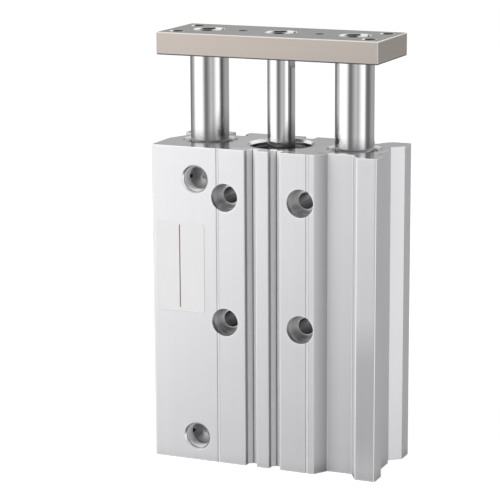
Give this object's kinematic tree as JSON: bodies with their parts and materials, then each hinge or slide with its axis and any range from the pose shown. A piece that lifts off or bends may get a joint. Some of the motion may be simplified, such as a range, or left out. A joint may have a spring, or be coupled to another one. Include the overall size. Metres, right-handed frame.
{
  "type": "guided pneumatic cylinder",
  "caption": "Compact guided pneumatic cylinder: an extruded metal block whose piston rod and guide rods push a flat drilled end plate straight out and back.",
  "frame": {"origin": "centre of the block's rear end face, on the axis of the central bore", "axes": "+Z along the rods towards the end plate, +X across the width with the front ports at -X, -Y out of the front face with the counterbored holes"},
  "size_m": [0.083, 0.0352, 0.1506],
  "materials": {
    "anodised_body": "satin clear anodised extrusion",
    "label_film": "smooth printed sticker, left blank",
    "dark_collar": "dark anodised",
    "nitrile_rubber": "smooth moulded",
    "spring_steel": "phosphated",
    "bushing_bronze": "sintered, oiled",
    "urethane": "moulded urethane",
    "cover_aluminium": "turned, chromated",
    "plug_steel": "zinc plated",
    "nickel_plate": "nickel plated, fine ground",
    "chromed_rod": "hard chromed and polished",
    "bright_bolt": "nickel plated",
    "piston_aluminium": "turned",
    "wear_plastic": "moulded",
    "magnet_compound": "bonded magnet",
    "felt": "dense oiled felt",
    "holder_steel": "pressed, dark"
  },
  "bodies": {
    "cylinder": {"cylinder_body": "anodised_body", "name_label": "label_film", "collar": "dark_collar", "collar_o_ring": "nitrile_rubber", "collar_snap_ring": "spring_steel", "rod_bushing": "bushing_bronze", "rod_seal": "nitrile_rubber", "front_bumper": "urethane", "rear_cover": "cover_aluminium", "rear_cover_o_ring": "nitrile_rubber", "rear_snap_ring": "spring_steel", "rear_bumper": "urethane", "upper_side_plug": "plug_steel", "lower_side_plug": "plug_steel", "left_front_bushing": "bushing_bronze", "left_rear_bushing": "bushing_bronze", "left_felt_wiper": "felt", "left_wiper_holder": "holder_steel", "left_guide_snap_ring": "spring_steel", "right_front_bushing": "bushing_bronze", "right_rear_bushing": "bushing_bronze", "right_felt_wiper": "felt", "right_wiper_holder": "holder_steel", "right_guide_snap_ring": "spring_steel"},
    "plate_assembly": {"end_plate": "nickel_plate", "left_guide_rod": "chromed_rod", "right_guide_rod": "chromed_rod", "left_guide_rod_bolt": "bright_bolt", "right_guide_rod_bolt": "bright_bolt", "piston_rod": "chromed_rod", "piston_rod_bolt": "bright_bolt", "piston": "piston_aluminium", "piston_wear_ring": "wear_plastic", "piston_seal": "nitrile_rubber", "piston_magnet": "magnet_compound", "piston_nut": "plug_steel"}
  },
  "joints": [
    {"name": "plate_slide", "type": "slide", "parent": "cylinder", "child": "plate_assembly", "axis": [0, 0, 1], "range_m": [-0.0228, 0.0522]}
  ]
}
